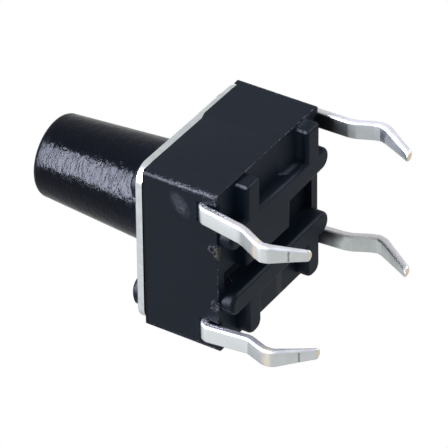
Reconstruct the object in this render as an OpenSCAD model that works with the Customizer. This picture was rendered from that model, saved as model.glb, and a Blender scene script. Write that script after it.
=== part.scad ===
// Through-hole tactile push button switch: a 6 mm square housing with a tall tapered button.
// The origin is the centre of the footprint, on the board's surface.
// +Z runs along the button, away from the board, and the four solder pins reach below the board.

/* [Housing] */
// Side length of the square housing and its cover
housing_w = 6; // [5.8:0.1:6.6]
// Height of the housing's walls, from the rim of its underside to its top
housing_h = 2.85; // [2.7:0.05:3.6]
// Height of the standoff ribs under the rim, which rest on the board
standoff_h = 0.48; // [0.25:0.01:0.6]
// Thickness of the floor that holds the terminals
floor_t = 0.8; // [0.75:0.05:1]
// Thickness of the wall around the cavity
wall_t = 0.8; // [0.7:0.05:0.95]
// Corner radius of the cavity
cavity_r = 1.5; // [1.3:0.1:1.7]
// Small radius on the housing's four upright edges
edge_r = 0.12; // [0.03:0.01:0.15]

/* [Standoff ribs] */
// Width of the two ribs that run across, towards the pins
cross_rib_w = 0.8; // [0.4:0.02:0.9]
// Distance of the cross ribs from the line midway between them
cross_rib_y = 1.26; // [1.1:0.02:1.5]
// Offset of that midway line from the centre
cross_rib_shift = 0.07; // [-0.1:0.01:0.1]
// Gap between the ends of the cross ribs and the housing's sides
cross_rib_inset = 0.08; // [0.02:0.02:0.3]
// Width of the two ribs that run along the pinless direction
long_rib_w = 0.76; // [0.5:0.02:0.9]
// Distance of the long ribs from the line midway between them
long_rib_x = 1.78; // [1.5:0.05:1.9]
// Sideways offset of that midway line
long_rib_shift = -0.2; // [-0.3:0.05:0.2]
// Gap between the ends of the long ribs and the housing's pinless sides
long_rib_inset = 0.1; // [0.05:0.05:0.4]
// Corner radius at the ends of the long ribs
long_rib_r = 0.14; // [0.05:0.01:0.25]
// Where the flat of the centre pad ends, past the middle towards -X
pad_flat = 0.45; // [0.3:0.05:0.6]
// Where the slope beside that flat ends
pad_slope = 1.5; // [1.2:0.05:1.6]
// Depth of the sink pockets above the rim
pocket_depth = 0.28; // [0.1:0.02:0.3]
// Thickness of the rim beside the sink pockets
pocket_rim = 0.38; // [0.25:0.02:0.6]
// Width of the central channel
channel_w = 0.68; // [0.5:0.02:0.8]

/* [Cover] */
// Thickness of the stamped cover
cover_t = 0.26; // [0.2:0.02:0.4]
// Corner radius of the cover
cover_r = 0.6; // [0.3:0.05:1]
// Height of the step that leaves a dark line under the cover's edge
cover_gap = 0.06; // [0.02:0.01:0.1]
// How far that step is set in from the housing's side
cover_gap_inset = 0.12; // [0.05:0.01:0.2]

/* [Rivets] */
// Diameter of the moulded rivet posts
rivet_d = 0.7; // [0.5:0.05:0.8]
// Clearance around each post in the cover
rivet_clear = 0.05; // [0.02:0.01:0.1]
// Diameter of the formed rivet heads
rivet_head_d = 1.16; // [1:0.02:1.2]
// Height of the rivet heads
rivet_head_h = 0.44; // [0.3:0.02:0.6]
// Share of that height which stands straight, under the domed top
rivet_side = 0.4; // [0.2:0.05:0.6]
// Distance of the rivets from the cover's edges on the pins' sides
rivet_inset_x = 0.64; // [0.58:0.02:0.7]
// Distance of the rivets from the cover's pinless edges
rivet_inset_y = 0.92; // [0.6:0.02:1]

/* [Button] */
// Height of the button's top above the board
button_top = 8.68; // [6:0.02:13]
// Diameter of the button's stem where it leaves the cover
stem_d = 3.55; // [3:0.05:3.6]
// Diameter of the stem at its free end, before the edge is rounded
stem_tip_d = 2.9; // [2.6:0.05:3.2]
// Radius of the stem's rounded end edge
stem_edge_r = 0.16; // [0.1:0.02:0.4]
// Running clearance around the stem in the cover
stem_clear = 0.08; // [0.05:0.01:0.15]
// Thickness of the button's flange under the cover
flange_t = 0.9; // [0.7:0.05:1.1]
// Sliding clearance around the flange in the cavity
flange_clear = 0.1; // [0.05:0.01:0.15]
// Gap between the flange and the cover at rest
flange_gap = 0.01; // [0.01:0.01:0.03]
// Diameter of the actuator boss under the flange
boss_d = 1.3; // [1:0.1:1.8]
// Gap between the actuator boss and the dome at rest
boss_gap = 0.01; // [0.01:0.01:0.03]
// Travel of the button
travel = 0.25; // [0.15:0.05:0.3]

/* [Dome] */
// Clearance between the snap dome and the cavity's walls
dome_clear = 0.25; // [0.15:0.05:0.4]
// Thickness of the dome's sheet
dome_t = 0.07; // [0.05:0.01:0.1]
// Gap left under the dome's centre when the button is pressed home
contact_gap = 0.02; // [0.01:0.01:0.05]

/* [Terminals] */
// Thickness of the terminal strip
strip_t = 0.28; // [0.25:0.01:0.32]
// Width of the solder pins
pin_w = 0.64; // [0.6:0.02:0.76]
// Spacing of the pins along the pinless direction
pin_pitch_y = 4.5; // [4.4:0.05:4.6]
// How far the roots stand outside the housing: the common terminal's +X pin
common_root_front = 0.05; // [0:0.01:0.35]
// The same for the common terminal's -X pin
common_root_back = 0.33; // [0:0.01:0.35]
// The same for the centre terminal's +X pin
centre_root_front = 0.17; // [0:0.01:0.35]
// The same for the centre terminal's -X pin
centre_root_back = 0.23; // [0:0.01:0.35]
// Height of the strip's underside above the housing's rim
strip_lift = 0.4; // [0.4:0.01:0.42]
// Centre-line radius of the bends in the strip
bend_r = 0.24; // [0.2:0.01:0.3]
// Clearance of the mould around the strip
mould_clear = 0.01; // [0.01:0.005:0.02]
// Gap beside each pin in its notch
notch_clear = 0.06; // [0.03:0.01:0.1]
// Depth of the notches in the housing's sides
notch_depth = 0.2; // [0.1:0.02:0.3]
// Reach of the pins below the board
pin_reach = 3; // [2.8:0.05:3.6]
// Reach of the centre terminal's pin on the +X side, whose end is bent further in
short_reach = 2.8; // [2.6:0.05:3.6]
// Depth below the board at which the pins' kinks start
kink_start = 0.65; // [0.5:0.05:0.9]
// Depth over which the kinks run outwards
kink_run = 0.8; // [0.6:0.05:0.9]
// Depth over which the kinks stay out
kink_flat = 0.25; // [0.15:0.05:0.4]
// How far the kinks stand out
kink_out = 0.3; // [0.2:0.05:0.5]
// How far the pins' ends lie inside the kinks
tip_in = 0.95; // [0.6:0.05:1.3]
// Width of the pins at their cut ends
tip_w = 0.38; // [0.3:0.02:0.6]
// Thickness of the pins at their cut ends
tip_t = 0.14; // [0.1:0.02:0.28]
// Length of the narrowed ends of the pins
tip_taper = 1.2; // [0.4:0.05:1.4]
// Corner radius of the narrowed ends
tip_corner_r = 0.08; // [0.04:0.01:0.12]
// Width of the strips inside the housing
strip_w = 0.6; // [0.5:0.02:0.7]
// Width of the tongues that carry the contacts
tongue_w = 0.8; // [0.6:0.05:0.9]
// Diameter of the contact pads
pad_d = 0.7; // [0.5:0.05:0.75]
// Distance of the two outer contact pads from the middle
pad_x = 1.5; // [1.3:0.05:1.6]
// Outward lean of the common terminal's pin on the +X side
common_lean_front = 10; // [-8:0.5:12]
// Outward lean of the common terminal's pin on the -X side
common_lean_back = 1; // [-8:0.5:12]
// Outward lean of the centre terminal's pin on the +X side
centre_lean_front = -7; // [-8:0.5:12]
// Outward lean of the centre terminal's pin on the -X side
centre_lean_back = 5; // [-8:0.5:12]

/* [Hidden] */
$fn = 64;
eps = 0.01;

half_w = housing_w / 2;
rim_z = standoff_h;
floor_z = rim_z + floor_t;
top_z = rim_z + housing_h;
cover_top = top_z + cover_t;
cavity_w = housing_w - 2 * wall_t;
rivet_x = half_w - rivet_inset_x;
rivet_y = half_w - rivet_inset_y;

strip_z = rim_z + strip_lift + strip_t / 2;
strip_top = strip_z + strip_t / 2;
strip_bottom = strip_z - strip_t / 2;
pin_y = pin_pitch_y / 2;
notch_x = half_w - notch_depth;

flange_top = top_z - flange_gap;
flange_z = flange_top - flange_t;
flange_w = cavity_w - 2 * flange_clear;
flange_r = cavity_r - flange_clear;
guide_top = cover_top + travel + flange_gap;

// The dome's underside clears the centre pad by the travel and a small gap.
dome_rise = travel + contact_gap;
dome_d = cavity_w - 2 * dome_clear;
dome_inner_r = dome_d / 2 - dome_t;
dome_sphere_r = (pow(dome_inner_r, 2) + pow(dome_rise, 2)) / (2 * dome_rise);
dome_top = floor_z + dome_rise + dome_t;
boss_z = dome_top + boss_gap;
pad_y = sqrt(pow(dome_inner_r, 2) - pow(pad_x, 2));

long_rib_y = half_w - long_rib_inset;
pocket_x = half_w - pocket_rim;
cross_rib_ys = [cross_rib_shift + cross_rib_y, cross_rib_shift - cross_rib_y];
cross_rib_inner = [cross_rib_ys[0] - cross_rib_w / 2, cross_rib_ys[1] + cross_rib_w / 2];
channel_top_y = cross_rib_inner[1] + channel_w;
long_rib_xs = [long_rib_shift + long_rib_x, long_rib_shift - long_rib_x];

function unit(v) = v / norm(v);
function turned(v, a) = [v[0] * cos(a) - v[1] * sin(a), v[0] * sin(a) + v[1] * cos(a)];
function cross2(a, b) = a[0] * b[1] - a[1] * b[0];

// The points of a rounded corner at b, on the way from a to c.
function bend(a, b, c, r, steps) =
    let (u = unit(a - b),
         w = unit(c - b),
         half = acos(u * w) / 2,
         middle = b + unit(u + w) * r / sin(half),
         start = b + u * r / tan(half) - middle,
         sweep = (180 - 2 * half) * sign(cross2(b - a, c - b)))
    [for (i = [0 : steps]) middle + turned(start, sweep * i / steps)];

// A path with each inner corner rounded.
function rounded(path, r, steps) =
    [path[0],
     for (i = [1 : len(path) - 2]) each bend(path[i - 1], path[i], path[i + 1], r, steps),
     path[len(path) - 1]];

// The direction of a path at point i.
function heading(path, i) =
    let (last = len(path) - 1)
    i == 0 ? unit(path[1] - path[0])
    : i == last ? unit(path[last] - path[last - 1])
    : unit(unit(path[i] - path[i - 1]) + unit(path[i + 1] - path[i]));

// The points of a path moved sideways by d, and by end_d at its last point.
function shifted(path, d, end_d) =
    [for (i = [0 : len(path) - 1])
        path[i] + (i < len(path) - 1 ? d : end_d) * turned(heading(path, i), 90)];

function reversed(list) = [for (i = [len(list) - 1 : -1 : 0]) list[i]];

// The outline of a strip that follows a path: the strip thins from its inner face, down to end_t.
function strip_outline(path, t, end_t) =
    concat(shifted(path, t / 2, t / 2), reversed(shifted(path, -t / 2, t / 2 - end_t)));

// The middle line of one pin, as [outward, up] points: out of the wall, down, and through the kink.
function pin_path(root_x, lean, reach) =
    let (turn = [root_x, strip_z],
         kink_z = -kink_start - kink_run,
         far = root_x + kink_out,
         run = reach + kink_z - kink_flat,
         slope = tip_in / run,
         down = [[root_x, -kink_start],
                 [far, kink_z],
                 [far, kink_z - kink_flat],
                 [far - slope * (run + strip_t), -reach - strip_t]])
    concat([[notch_x - eps, strip_z], turn], [for (p = down) turn + turned(p - turn, lean)]);

module rounded_square(w, h, r) {
    corner_x = w / 2 - r;
    corner_y = h / 2 - r;
    union() {
        square([w, h - 2 * r], center = true);
        square([w - 2 * r, h], center = true);
        for (x = [-corner_x, corner_x], y = [-corner_y, corner_y]) translate([x, y]) circle(r);
    }
}

module rounded_box(w, h, r, z0, z1) {
    translate([0, 0, z0]) linear_extrude(z1 - z0) rounded_square(w, h, r);
}

// A box from one corner to the opposite one.
module block(a, b) {
    translate(a) cube(b - a);
}

module at_rivets() {
    for (x = [-rivet_x, rivet_x], y = [-rivet_y, rivet_y]) translate([x, y, 0]) children();
}

// A rib along X with round ends.
module cross_rib(y) {
    r = cross_rib_w / 2;
    x = half_w - cross_rib_inset - r;
    block([-x, y - r, 0], [x, y + r, rim_z + eps]);
    for (side = [-x, x]) translate([side, y, 0]) cylinder(h = rim_z + eps, r = r);
}

// A rib along Y between two ends, with rounded corners.
module long_rib(x, y0, y1) {
    translate([x, (y0 + y1) / 2, 0])
        rounded_box(long_rib_w, y1 - y0, long_rib_r, 0, rim_z + eps);
}

module standoffs() {
    for (y = cross_rib_ys) cross_rib(y);
    for (x = long_rib_xs) {
        long_rib(x, -long_rib_y, cross_rib_ys[1]);
        long_rib(x, cross_rib_ys[0], long_rib_y);
    }
    // the centre pad joins the upper cross rib and one long rib
    block([0, channel_top_y, 0], [long_rib_xs[0] + long_rib_w / 2, cross_rib_ys[0], rim_z + eps]);
    centre_ramp();
}

// The centre pad's far side, which slopes down into the sink pocket.
module centre_ramp() {
    translate([0, cross_rib_ys[0], 0]) rotate([90, 0, 0])
        linear_extrude(cross_rib_ys[0] - channel_top_y)
        polygon([[eps, 0], [-pad_flat, 0], [-pad_slope, rim_z + pocket_depth / 2],
                 [-pad_slope, rim_z + pocket_depth + eps], [eps, rim_z + pocket_depth + eps]]);
}

// Sink pockets: a channel along X and a pocket beside the centre pad.
module pockets() {
    z = rim_z + pocket_depth;
    block([-pocket_x, cross_rib_inner[1], 0], [pocket_x, channel_top_y, z]);
    block([-pocket_x, channel_top_y - eps, 0], [0, cross_rib_inner[0], z]);
}

// The channel that a terminal's strip is moulded into, and the notches for its pins.
module strip_room(y) {
    w = strip_w / 2 + mould_clear;
    n = pin_w / 2 + notch_clear;
    block([-half_w, y - w, strip_bottom - mould_clear], [half_w, y + w, strip_top + mould_clear]);
    for (side = [0, 1]) mirror([side, 0, 0])
        block([notch_x, y - n, 0], [half_w + eps, y + n, strip_top + notch_clear]);
}

module housing() {
    color("#22252c")
    difference() {
        union() {
            difference() {
                rounded_box(housing_w, housing_w, edge_r, rim_z, top_z - cover_gap);
                pockets();
            }
            rounded_box(housing_w - 2 * cover_gap_inset, housing_w - 2 * cover_gap_inset, edge_r,
                        top_z - cover_gap - eps, top_z);
            standoffs();
            at_rivets() {
                translate([0, 0, top_z - eps]) cylinder(h = cover_t + 2 * eps, d = rivet_d);
                translate([0, 0, cover_top]) rivet_head();
            }
        }
        rounded_box(cavity_w, cavity_w, cavity_r, floor_z, top_z + eps);
        for (y = [-pin_y, pin_y]) strip_room(y);
        common_tongues(mould_clear);
        centre_tongue(mould_clear);
    }
}

// A low dome with a short straight side.
module rivet_head() {
    side = rivet_head_h * rivet_side;
    cap_h = rivet_head_h - side;
    r = rivet_head_d / 2;
    ball_r = (r * r + cap_h * cap_h) / (2 * cap_h);
    cylinder(h = side, r = r);
    intersection() {
        translate([0, 0, rivet_head_h - ball_r]) sphere(ball_r);
        translate([0, 0, side - eps]) cylinder(h = cap_h + 2 * eps, r = r);
    }
}

module cover() {
    color("#c9cdcd")
    difference() {
        rounded_box(housing_w, housing_w, cover_r, top_z, cover_top);
        translate([0, 0, top_z - eps]) {
            cylinder(h = cover_t + 2 * eps, d = stem_d + 2 * stem_clear);
            at_rivets() cylinder(h = cover_t + 2 * eps, d = rivet_d + 2 * rivet_clear);
        }
    }
}

module button() {
    r = stem_d / 2;
    tip_r = stem_tip_d / 2;
    e = stem_edge_r;
    color("#1b1c1f")
    union() {
        rounded_box(flange_w, flange_w, flange_r, flange_z, flange_top);
        translate([0, 0, boss_z]) cylinder(h = flange_z - boss_z + eps, d = boss_d);
        rotate_extrude()
            union() {
                polygon([[0, flange_z + eps], [r, flange_z + eps], [r, guide_top], [tip_r, button_top - e],
                         [tip_r - e, button_top], [0, button_top]]);
                translate([tip_r - e, button_top - e]) circle(e);
            }
    }
}

module snap_dome() {
    translate([0, 0, floor_z]) color("#b9bcc0")
    intersection() {
        translate([0, 0, dome_rise - dome_sphere_r])
            difference() {
                sphere(dome_sphere_r + dome_t);
                sphere(dome_sphere_r);
            }
        cylinder(h = dome_rise + 2 * dome_t, d = dome_d);
    }
}

// One end of a terminal strip: out through the wall and down as a solder pin.
module pin(root_out, lean, reach) {
    path = rounded(pin_path(half_w + root_out, lean, reach), bend_r, 5);
    taper_z = tip_taper - reach;
    front = [[pin_w / 2, floor_z], [pin_w / 2, taper_z], [tip_w / 2, -reach],
             [-tip_w / 2, -reach], [-pin_w / 2, taper_z], [-pin_w / 2, floor_z]];
    intersection() {
        translate([0, pin_w / 2, 0]) rotate([90, 0, 0]) linear_extrude(pin_w)
            polygon(strip_outline(path, strip_t, tip_t));
        rotate([90, 0, 90]) linear_extrude(housing_w) polygon(rounded(front, tip_corner_r, 4));
    }
}

// A terminal's strip through the housing, with a pin at each end.
module terminal_strip(y, root_front, lean_front, reach_front, root_back, lean_back) {
    translate([0, y, 0]) {
        block([-notch_x, -strip_w / 2, strip_bottom], [notch_x, strip_w / 2, strip_top]);
        pin(root_front, lean_front, reach_front);
        mirror([1, 0, 0]) pin(root_back, lean_back, pin_reach);
    }
}

// A tongue along Y from the strip to a contact pad, grown by a clearance on every side.
module tongue(x, y0, y1, clear) {
    w = tongue_w / 2 + clear;
    z = strip_bottom - clear;
    block([x - w, min(y0, y1), z], [x + w, max(y0, y1), strip_top + clear]);
    translate([x, y1, z]) cylinder(h = strip_t + 2 * clear, r = w);
    translate([x, y1, z]) cylinder(h = floor_z + clear - z, r = pad_d / 2 + clear);
}

module common_tongues(clear) {
    for (x = [-pad_x, pad_x]) tongue(x, pin_y, pad_y, clear);
}

module centre_tongue(clear) {
    tongue(0, -pin_y, 0, clear);
}

module common_terminal() {
    color("#c4c8ca") {
        terminal_strip(pin_y, common_root_front, common_lean_front, pin_reach,
                       common_root_back, common_lean_back);
        common_tongues(0);
    }
}

module centre_terminal() {
    color("#c4c8ca") {
        terminal_strip(-pin_y, centre_root_front, centre_lean_front, short_reach,
                       centre_root_back, centre_lean_back);
        centre_tongue(0);
    }
}

housing();
cover();
button();
snap_dome();
common_terminal();
centre_terminal();
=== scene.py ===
"""Looks of a through-hole push button switch: its softened pieces, materials, studio light and camera."""

from math import cos, hypot, pi, radians, sin, tau

import bmesh
import bpy
from mathutils import Euler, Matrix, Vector


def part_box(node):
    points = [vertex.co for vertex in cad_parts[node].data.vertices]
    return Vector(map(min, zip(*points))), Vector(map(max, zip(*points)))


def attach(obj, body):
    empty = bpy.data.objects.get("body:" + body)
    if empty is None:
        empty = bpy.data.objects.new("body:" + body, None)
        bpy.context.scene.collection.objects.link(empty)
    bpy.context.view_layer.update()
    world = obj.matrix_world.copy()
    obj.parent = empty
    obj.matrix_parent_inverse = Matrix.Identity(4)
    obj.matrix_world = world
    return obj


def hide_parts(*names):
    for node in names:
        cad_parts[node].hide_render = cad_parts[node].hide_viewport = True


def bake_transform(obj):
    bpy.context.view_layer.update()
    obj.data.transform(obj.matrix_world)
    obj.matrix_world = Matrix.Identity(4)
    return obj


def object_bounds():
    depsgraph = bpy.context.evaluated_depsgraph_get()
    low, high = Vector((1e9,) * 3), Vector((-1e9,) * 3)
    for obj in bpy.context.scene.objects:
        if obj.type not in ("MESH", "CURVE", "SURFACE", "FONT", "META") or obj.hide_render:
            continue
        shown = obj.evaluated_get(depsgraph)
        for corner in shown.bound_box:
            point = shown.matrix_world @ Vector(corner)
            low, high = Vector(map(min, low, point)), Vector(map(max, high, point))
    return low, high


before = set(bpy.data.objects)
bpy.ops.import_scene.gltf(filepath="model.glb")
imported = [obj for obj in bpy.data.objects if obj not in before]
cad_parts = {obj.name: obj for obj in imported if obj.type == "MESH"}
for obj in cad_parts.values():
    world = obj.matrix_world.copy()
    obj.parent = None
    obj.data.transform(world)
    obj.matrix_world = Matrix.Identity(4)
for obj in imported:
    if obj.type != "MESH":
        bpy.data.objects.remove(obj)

CAD_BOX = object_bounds()
MM = 0.001
# What lies closer than this is in the same place
NEAR = 0.01 * MM

COVER_LOW, COVER_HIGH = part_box("cover")
BUTTON_LOW, BUTTON_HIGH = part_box("button")
TABLE_Z = CAD_BOX[0].z
HALF = COVER_HIGH.x

# Sizes of the moulding, in metres
RIM_Z = 0.48 * MM
RIB_EDGE, RIM_EDGE = 0.13 * MM, 0.03 * MM
LONG_RIBS_X, LONG_RIB_W, LONG_RIB_END = (1.58 * MM, -1.98 * MM), 0.76 * MM, -2.9 * MM
FOOT_R = 0.34 * MM
# The long ribs' corners that carry a painted highlight, and the two gates on the +X wall with their half
# sizes, in millimetres
RIB_CORNERS = ((1.93, 2.87, 0), (-1.63, 2.87, 0))
GATES = ((0.97, 0.66, (0.13, 0.12)), (-1.2, 0.64, (0.17, 0.09)))

# The cover sits lower along one half of its back edge, past a step; the other half is rolled down
COVER_EDGE, COVER_ROUND = 0.05 * MM, 0.63 * MM
SAG, STEP_X = 0.09 * MM, (-0.75 * MM, -0.45 * MM)
ROLL_W, ROLL_DROP = 0.12 * MM, 0.08 * MM
# What lies no further than this under a top face moves with it
TOP_BAND = 0.1 * MM

# Sizes of the button, in metres
FLANGE_Z, FLANGE_TOP, FLANGE_R = 2.42 * MM, 3.32 * MM, 1.4 * MM
BOSS_R = 0.65 * MM
STEM_R, TIP_R, TIP_EDGE = 1.775 * MM, 1.45 * MM, 0.22 * MM
GUIDE_TOP = 3.85 * MM
STEM_SHIFT = (0.02 * MM, -0.04 * MM, 0)

# Sizes of the solder pins, in metres
PIN_W, STRIP_T = 0.64 * MM, 0.28 * MM
PIN_Y = 2.25 * MM
NOTCH_X, STRIP_Z = 2.8 * MM, 1.02 * MM
BEND_R, STRIP_EDGE = 0.24 * MM, 0.085 * MM
TIP_W, TIP_TAPER, TIP_CORNER = 0.38 * MM, 1.2 * MM, 0.08 * MM
TIP_T, BACK_TIP_T = 0.14 * MM, 0.25 * MM
# Marks on the front pins, in millimetres: the middle of the kink, which carries a painted shade, and the
# outer knee as measured along the strip, and the crack as measured from the cut end
KINK_AT, KNEE_AT, CRACK_AT = 2.36, 2.78, 0.7

# How each pin is bent, in millimetres: where its root stands, its lean in degrees, the depth at which its
# kink starts, that kink's run and stand out, the length that stays out, the inward slope of its end and its
# reach
BENDS = {"common_front": (3.05, 10, 0.74, 0.9, 0.28, 0.23, 0.84, 3.02),
         "common_back": (3.33, 1, 0.62, 0.76, 0.33, 0.26, 0.59, 2.93),
         "centre_front": (3.17, -7, 0.65, 0.67, 0.33, 0.28, 0.73, 2.73),
         "centre_back": (3.23, 5, 0.5, 0.81, 0.32, 0.27, 0.73, 2.95)}

# The node kinds used most
MATH, VECTOR_MATH, MAP_RANGE = "ShaderNodeMath", "ShaderNodeVectorMath", "ShaderNodeMapRange"
NOISE, MIX, MAPPING, BUMP = "ShaderNodeTexNoise", "ShaderNodeMix", "ShaderNodeMapping", "ShaderNodeBump"


# ---------------------------------------------------------------- colour and nodes

def linear(code):
    """A colour written as sRGB hex, as linear RGBA."""
    def channel(value):
        value /= 255
        return value / 12.92 if value <= 0.04045 else ((value + 0.055) / 1.055) ** 2.4
    return tuple(channel(int(code[i:i + 2], 16)) for i in (1, 3, 5)) + (1.0,)


def add(tree, kind, **given):
    """Adds a node. Names in capitals are its input sockets, any other names its own settings.

    A socket takes a value, another socket, or a node, whose first output is meant. A list fills the sockets
    of that name in turn. An underscore stands for a space."""
    made = tree.nodes.new(kind)
    for key in [k for k in given if k[0].islower()]:
        setattr(made, key, given.pop(key))
    for key, values in given.items():
        sockets = [s for s in made.inputs if s.enabled and s.name == key.replace("_", " ")]
        for socket, value in zip(sockets, values if isinstance(values, list) else [values]):
            if isinstance(value, bpy.types.Node):
                value = next(s for s in value.outputs if s.enabled)
            if isinstance(value, bpy.types.NodeSocket):
                tree.links.new(value, socket)
            else:
                socket.default_value = value
    return made


def new_material(name):
    """An empty node material, and its tree."""
    material = bpy.data.materials.new(name)
    material.use_nodes = True
    material.node_tree.nodes.clear()
    return material, material.node_tree


def in_mm(tree):
    """Object coordinates in millimetres."""
    coords = add(tree, "ShaderNodeTexCoord").outputs["Object"]
    return add(tree, MAPPING, Vector=coords, Scale=(1 / MM, 1 / MM, 1 / MM))


def oval(tree, place, centre, turn, half):
    """How far out a place lies from an oval spot on the +X wall: 1 on its outline, in the spot's own half
    sizes."""
    own = add(tree, MAPPING, vector_type="TEXTURE", Vector=place, Location=centre, Rotation=(turn, 0, 0),
              Scale=(1, half[0], half[1]))
    return add(tree, VECTOR_MATH, operation="LENGTH", Vector=own).outputs["Value"]


# ---------------------------------------------------------------- materials

def moulded_nylon():
    """Glass-filled nylon, moulded: blue-black and matt, scuffed along its upright edges under a painted
    highlight of pale sparkle, with the torn pits of two gates beside the rim and a painted shadow in the gap
    under the cover."""
    material, tree = new_material("glass_filled_nylon_moulded")
    place = in_mm(tree)
    spot = add(tree, "ShaderNodeSeparateXYZ", Vector=place).outputs
    half, rim = HALF / MM, RIM_Z / MM

    # the skin: a faint mottle, about a third of a millimetre across
    mottle = add(tree, NOISE, Vector=place, Scale=2.8, Detail=4.0, Roughness=0.6)
    shade = add(tree, MAP_RANGE, Value=mottle, From_Min=0.3, From_Max=0.7)
    colour = add(tree, MIX, data_type="RGBA", Factor=shade, A=linear("#101a26"), B=linear("#131e2b"))

    # how near a spot is to an upright edge of the walls, less towards the cover
    far_x = add(tree, MATH, operation="ABSOLUTE", Value=spot["X"])
    far_y = add(tree, MATH, operation="ABSOLUTE", Value=spot["Y"])
    least = add(tree, MATH, operation="MINIMUM", Value=[far_x, far_y])
    most = add(tree, MATH, operation="MAXIMUM", Value=[far_x, far_y])
    edge = add(tree, MAP_RANGE, Value=least, From_Min=half - 0.26, From_Max=half - 0.05)
    lower = add(tree, MAP_RANGE, Value=spot["Z"], From_Min=3.4, From_Max=1.7, To_Min=0.7)
    wall = add(tree, MATH, operation="GREATER_THAN", Value=[most, half - 0.04])
    for share in (lower, wall):
        edge = add(tree, MATH, operation="MULTIPLY", Value=[edge, share])

    # scuffs and a painted highlight: specks a few hundredths of a millimetre across, thinning out a fifth of
    # a millimetre from each edge, with brighter painted glints among them
    specks = add(tree, MAPPING, Vector=place, Scale=(16, 16, 8))
    specks = add(tree, NOISE, Vector=specks, Scale=1.0, Detail=3.0, Roughness=0.65)
    level = add(tree, MATH, operation="MULTIPLY_ADD", Value=[edge, 0.32, specks])
    scuff_and_highlight = add(tree, MAP_RANGE, Value=level, From_Min=0.72, From_Max=0.86)
    glints = add(tree, NOISE, Vector=place, Scale=34.0, Detail=2.0)
    glints = add(tree, MAP_RANGE, Value=glints, From_Min=0.52, From_Max=0.64)
    glints = add(tree, MATH, operation="MULTIPLY", Value=[glints, scuff_and_highlight])

    # painted highlight on the long ribs' upright corners: pale, in patches
    flat = add(tree, VECTOR_MATH, operation="MULTIPLY", Vector=[place, (1, 1, 0)])
    corners = [add(tree, VECTOR_MATH, operation="DISTANCE", Vector=[flat, corner]).outputs["Value"]
               for corner in RIB_CORNERS]
    glint_reach = add(tree, MATH, operation="MINIMUM", Value=corners)
    glint_reach = add(tree, MAP_RANGE, Value=glint_reach, From_Min=0.07, From_Max=0.03)
    above = add(tree, MATH, operation="LESS_THAN", Value=[spot["Z"], rim - 0.02])
    corner_glint = add(tree, NOISE, Vector=place, Scale=5.0, Detail=4.0, Roughness=0.7)
    corner_glint = add(tree, MAP_RANGE, Value=corner_glint, From_Min=0.42, From_Max=0.6, To_Min=0.1)
    for share in (glint_reach, above):
        corner_glint = add(tree, MATH, operation="MULTIPLY", Value=[corner_glint, share])

    # a rubbed patch beside the upper pin
    strokes = add(tree, NOISE, Vector=place, Scale=6.0, Detail=4.0, Roughness=0.7)
    strokes = add(tree, MAP_RANGE, Value=strokes, From_Min=0.32, From_Max=0.62)
    patch = oval(tree, place, (half, 2.26, 1.84), radians(35), (0.5, 0.3))
    patch = add(tree, MAP_RANGE, interpolation_type="SMOOTHSTEP", Value=patch, From_Min=1.2, From_Max=0.2)
    patch = add(tree, MATH, operation="MULTIPLY", Value=[patch, strokes])

    # the pits: a torn hole with a pale, raised lip; the hole is painted near black, a painted shade for its
    # depth
    wander = add(tree, NOISE, Vector=place, Scale=12.0, Detail=2.0).outputs["Color"]
    wander = add(tree, VECTOR_MATH, operation="MULTIPLY_ADD",
                 Vector=[wander, (0.3, 0.3, 0.3), (-0.15, -0.15, -0.15)])
    torn = add(tree, VECTOR_MATH, operation="ADD", Vector=[place, wander])
    pits = [oval(tree, torn, (half, y, z), 0.0, size) for y, z, size in GATES]
    pit = add(tree, MATH, operation="MINIMUM", Value=pits)
    hole = add(tree, MAP_RANGE, interpolation_type="SMOOTHSTEP", Value=pit, From_Min=0.5, From_Max=0.7,
               To_Min=1.0, To_Max=0.0)
    lip = add(tree, MATH, operation="SUBTRACT", Value=[pit, 0.95])
    lip = add(tree, MATH, operation="ABSOLUTE", Value=lip)
    lip = add(tree, MAP_RANGE, interpolation_type="SMOOTHSTEP", Value=lip, From_Min=0.4, From_Max=0.1)
    outer = add(tree, MAP_RANGE, Value=spot["Z"], From_Min=0.58, From_Max=0.74, To_Min=0.35)
    lip = add(tree, MATH, operation="MULTIPLY", Value=[lip, outer])

    # painted shadow along the gap under the cover, on its two open sides
    seam_shade = add(tree, MAP_RANGE, Value=spot["Z"], From_Min=3.13, From_Max=3.18)
    beside = add(tree, MATH, operation="GREATER_THAN", Value=[far_x, half - 0.03])
    seam_shade = add(tree, MATH, operation="MULTIPLY", Value=[seam_shade, beside])

    # the pocket between the ribs is spark eroded and matt, and painted darker as painted shade in the recess
    inside = add(tree, MAP_RANGE, Value=most, From_Min=half - 0.2, From_Max=half - 0.4)
    deep = add(tree, MAP_RANGE, Value=spot["Z"], From_Min=rim + 0.02, From_Max=rim + 0.1)
    pocket = add(tree, MATH, operation="MULTIPLY", Value=[inside, deep])
    pocket_shade = add(tree, MATH, operation="MULTIPLY", Value=[pocket, 0.35])

    for mask, tint in ((scuff_and_highlight, "#626377"), (glints, "#b6b7c6"), (corner_glint, "#9c9eb4"), (patch, "#6a7080"),
                       (lip, "#6d7083"), (hole, "#07080a"), (seam_shade, "#040507"), (pocket_shade, "#060606")):
        colour = add(tree, MIX, data_type="RGBA", Factor=mask, A=colour, B=linear(tint))

    # the grain that glass fibres give, drawn 0.06 mm wide: the fibres themselves are too fine to be seen
    grain = add(tree, NOISE, Vector=place, Scale=17.0, Detail=3.0)
    depth = add(tree, MAP_RANGE, Value=edge, To_Min=0.3, To_Max=1.0)
    fine = add(tree, BUMP, Height=grain, Strength=depth, Distance=0.012 * MM)
    relief = add(tree, MATH, operation="SUBTRACT", Value=[lip, hole])
    fine = add(tree, BUMP, Height=relief, Strength=0.8, Distance=0.03 * MM, Normal=fine)
    rough = add(tree, MAP_RANGE, Value=pocket, To_Min=0.45, To_Max=0.85)
    shader = add(tree, "ShaderNodeBsdfPrincipled", Base_Color=colour, Roughness=rough,
                 Specular_IOR_Level=0.08, Normal=fine)
    add(tree, "ShaderNodeOutputMaterial", Surface=shader)
    return material


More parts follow.
